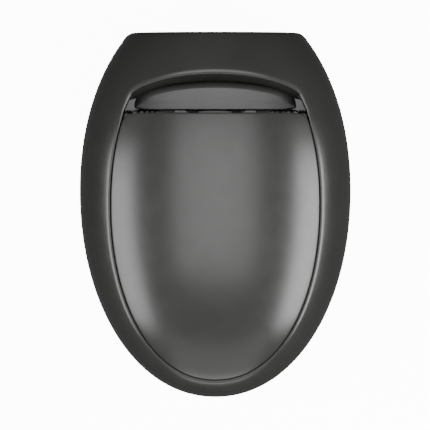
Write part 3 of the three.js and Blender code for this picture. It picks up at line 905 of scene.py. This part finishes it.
def make_floor_fixing(name, side):
    """An angle bracket, its floor screw, the screw through the skirt and the cap that covers it."""
    low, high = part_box(f"floor_bracket_{name}")
    plate = BRACKET_PLATE
    outer = max(low.x, high.x, key=abs)
    bracket = slab(f"bracket_{name}", low, (high.x, high.y, low.z + plate), BRACKET_EDGE)
    x0, x1 = sorted((outer - side * plate, outer))
    upright = slab("upright", (x0, low.y, low.z + 0.2 * MM), (x1, high.y, high.z), BRACKET_EDGE)
    joined(bracket, upright)
    floor_place = (middle(f"floor_screw_{name}").x, middle(f"floor_screw_{name}").y, 0)
    side_place = (0, middle(f"side_screw_{name}").y, middle(f"side_screw_{name}").z)
    cut(bracket, rod("hole", BRACKET_HOLE, -MM, 2 * plate, "z", floor_place))
    x0, x1 = sorted((outer - side * 2 * plate, outer + side * plate))
    cut(bracket, rod("hole", BRACKET_HOLE, x0, x1, "x", side_place))
    finish(bracket, "pan_body", STEEL, "steel", f"floor_bracket_{name}")

    low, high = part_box(f"floor_screw_{name}")
    shape = (low.z, plate + GAP, half_width(f"floor_screw_{name}"), high.z)
    made = screw(f"floor_bolt_{name}", shape, "z", floor_place, 1, 1.4 * MM)
    finish(made, "pan_body", STEEL, "steel", f"floor_screw_{name}")

    low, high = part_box(f"side_screw_{name}")
    tip, face = sorted((abs(low.x), abs(high.x)))
    shape = (tip, face - 1.7 * MM, (high.z - low.z) / 2, face)
    made = screw(f"side_bolt_{name}", shape, "x", side_place, side, 0.7 * MM)
    finish(made, "pan_body", STEEL, "steel", f"side_screw_{name}")

    low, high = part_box(f"screw_cap_{name}")
    back, face = sorted((abs(low.x), abs(high.x)))
    radius = (high.z - low.z) / 2
    dome = [
        (TIP, back),
        (radius, back),
        (radius, face - 1.6 * MM),
        (radius * 0.8, face - 0.4 * MM),
        (TIP, face),
    ]
    cap = turned(f"cap_{name}", sideways(softened(dome, MM), side), "x", side_place)
    finish(cap, "pan_body", BLACK_PLASTIC, "black_plastic", f"screw_cap_{name}")


def make_buffers(name):
    """Rubber pads with rolled edges: the lid's lie along its curve, and the seat stands on its own."""
    for where in ("front", "rear"):
        node = f"lid_buffer_{where}_{name}"
        place = middle(node)
        shape = [(5 * MM, -1.1 * MM), (5 * MM, 1.1 * MM)]
        pad = bar(f"lid_pad_{where}_{name}", shape, "z", (0, 0, 0), 0.7 * MM, 32)
        near = np.array([(place.x, place.y)] * 4) + np.array([(1, 0), (-1, 0), (0, 1), (0, -1)]) * MM
        z = dome_z(near)
        normal = Vector((z[1] - z[0], z[3] - z[2], 2 * MM)).normalized()
        turn = Vector((0, 0, 1)).rotation_difference(normal).to_matrix().to_4x4()
        pad.data.transform(Matrix.Translation(place) @ turn)
        finish(pad, "lid_body", RUBBER, "rubber", node)

        node = f"seat_buffer_{where}_{name}"
        low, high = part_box(node)
        shape = [(half_width(node), low.z), (half_width(node), high.z)]
        pad = bar(f"seat_pad_{where}_{name}", shape, "z", (middle(node).x, middle(node).y, 0), MM, 32)
        finish(pad, "seat_body", RUBBER, "rubber", node)


def make_damper(node, body):
    """A rotary damper's barrel, with grooves round it and a raised boss at each end."""
    low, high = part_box(node)
    outer = (high.z - low.z) / 2
    boss, boss_radius = 1.5 * MM, 0.6 * outer
    groove_width, groove_radius = 0.8 * MM, outer - 0.6 * MM
    profile = [(boss_radius, low.x), (boss_radius, low.x + boss)]
    places = np.linspace(low.x + boss, high.x - boss, 6)
    for x0, x1 in zip(places[:-1], places[1:]):
        groove = x1 - groove_width
        profile += [(outer, x0), (outer, groove), (groove_radius, groove), (groove_radius, x1)]
    profile += [(boss_radius, high.x - boss), (boss_radius, high.x)]
    barrel = bar(f"{node}_barrel", profile, "x", HINGE_LINE, 0.25 * MM)
    finish(barrel, body, BLACK_PLASTIC, "black_plastic", node)


def make_seal(node, inner):
    """A rubber ring with three lips round its outside."""
    low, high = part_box(node)
    outer = half_width(node)
    core = outer - 0.8 * MM
    lip = (high.y - low.y) / 3
    shape = []
    for k in range(3):
        y = low.y + k * lip
        shape += [(core, y), (outer, y + 0.4 * lip), (core, y + 0.9 * lip)]
    shape += [(core, high.y), (inner, high.y), (inner, low.y)]
    ring = collar(f"{node}_ring", shape, "y", (0, 0, middle(node).z), 0.4 * MM, 72)
    finish(ring, "pan_body", RUBBER, "rubber", node)


def make_connector(node, wall):
    """A pipe end with a rolled mouth and a locating rib."""
    low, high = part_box(node)
    outer = half_width(node)
    inner = outer - wall
    thin = outer - 0.35 * wall
    rib = low.y + 0.65 * (high.y - low.y)
    shape = [
        (outer, low.y),
        (outer, low.y + 4 * MM),
        (thin, low.y + 5 * MM),
        (thin, rib),
        (outer, rib + 0.5 * MM),
        (outer, rib + 2.5 * MM),
        (thin, rib + 3 * MM),
        (thin, high.y),
        (inner, high.y),
        (inner, low.y),
    ]
    pipe = collar(f"{node}_pipe", shape, "y", (0, 0, middle(node).z), 0.5 * MM, 72)
    finish(pipe, "pan_body", PIPE_PLASTIC, "pipe_plastic", node)


# ---- camera, floor and light ----

VIEW_SHARE = 1.586716  # the view's width over the pan's
CAMERA_X = -0.4 * MM
FLOOR_REACH = 6.0


def aim(thing, target):
    direction = Vector(target) - thing.location
    thing.rotation_euler = direction.to_track_quat("-Z", "Y").to_euler()


def add_camera():
    """Straight above, with the wall side up, through a long lens."""
    data = bpy.data.cameras.new("camera")
    data.lens = 500
    data.sensor_width = 36
    view_width = (PAN_HIGH.x - PAN_LOW.x) * VIEW_SHARE
    camera = bpy.data.objects.new("camera", data)
    camera.location = (CAMERA_X, 0, EDGE_Z + view_width * data.lens / data.sensor_width)
    bpy.context.scene.collection.objects.link(camera)
    bpy.context.scene.camera = camera


def softbox(name, location, target, width, length, power):
    data = bpy.data.lights.new(name, "AREA")
    data.shape = "RECTANGLE"
    data.size = width
    data.size_y = length
    data.energy = power
    light = bpy.data.objects.new(name, data)
    light.location = location
    light.visible_camera = False
    bpy.context.scene.collection.objects.link(light)
    aim(light, target)
    return light


def add_lights():
    softbox("low front", (0, -1.9, 0.95), (0, 0.1, 0.4), 1.3, 0.5, 5)
    softbox("overhead", (0, 0.03, 2.4), (0, 0.03, 0.4), 1.1, 1.2, 16)
    softbox("front", (0, -1.5, 1.3), (0, -0.15, 0.4), 1.6, 1.3, 8)
    for side, power in ((-1, 25), (1, 37)):
        softbox("side", (side * 1.16, -0.38, 1.42), (0, -0.38, 0.43), 1.3, 0.66, power)
    world = bpy.data.worlds.new("studio")
    world.use_nodes = True
    background = world.node_tree.nodes["Background"]
    background.inputs["Color"].default_value = (1, 1, 1, 1)
    background.inputs["Strength"].default_value = 0.15
    bpy.context.scene.world = world


def add_floor():
    square = np.array([(-1, -1), (1, -1), (1, 1), (-1, 1)]) * FLOOR_REACH
    floor = loft("floor", [at(square, -20 * MM), at(square, 0.0)])
    floor.data.materials.append(floor_paint())
    floor.visible_glossy = False
    floor.visible_diffuse = False


add_camera()
add_floor()
add_lights()
make_pan()
make_lid()
make_seat()
make_cover()
for side_name, sign in SIDES:
    make_hinge(side_name, sign)
    make_fixing(side_name)
    make_floor_fixing(side_name, sign)
    make_buffers(side_name)
make_damper("lid_damper", "lid_body")
make_damper("seat_damper", "seat_body")
make_seal("outlet_seal", SPIGOT["radius"] + GAP)
make_seal("inlet_seal", 22.3 * MM)
make_connector("outlet_connector", 4 * MM)
make_connector("inlet_connector", 3 * MM)
for row in frame["record"]["subparts"]:
    node = frame["nodes"][row["node"]]
    node.data.materials.clear()
    node.data.materials.append(SLOTS[row["material_slot"]])
